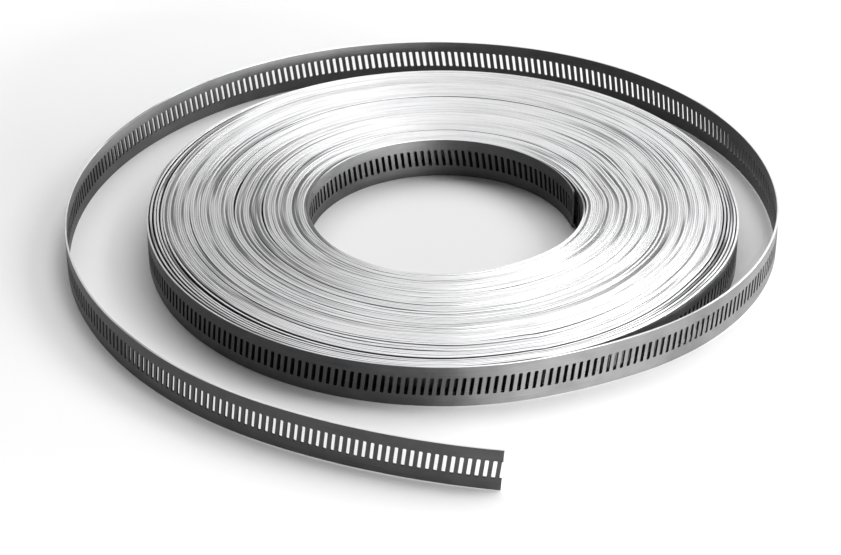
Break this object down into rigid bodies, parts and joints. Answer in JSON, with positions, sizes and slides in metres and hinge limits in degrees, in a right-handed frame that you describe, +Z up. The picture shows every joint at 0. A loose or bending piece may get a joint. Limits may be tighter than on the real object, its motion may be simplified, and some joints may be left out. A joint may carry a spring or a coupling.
{
  "type": "roll of clamp band",
  "caption": "Flat coil of perforated stainless-steel hose-clamp band, wound round an open bore, with its outermost turn sprung loose and ending in a cut end.",
  "frame": {"origin": "middle of the bore, on the surface that the roll lies on", "axes": "+Z up along the bore; +Y away from the free end, which lies at the front"},
  "size_m": [0.2119, 0.2349, 0.013],
  "materials": {
    "band_steel": "bright cold-rolled strip with slit edges"
  },
  "bodies": {
    "root": {"clamp_band": "band_steel"}
  },
  "joints": []
}
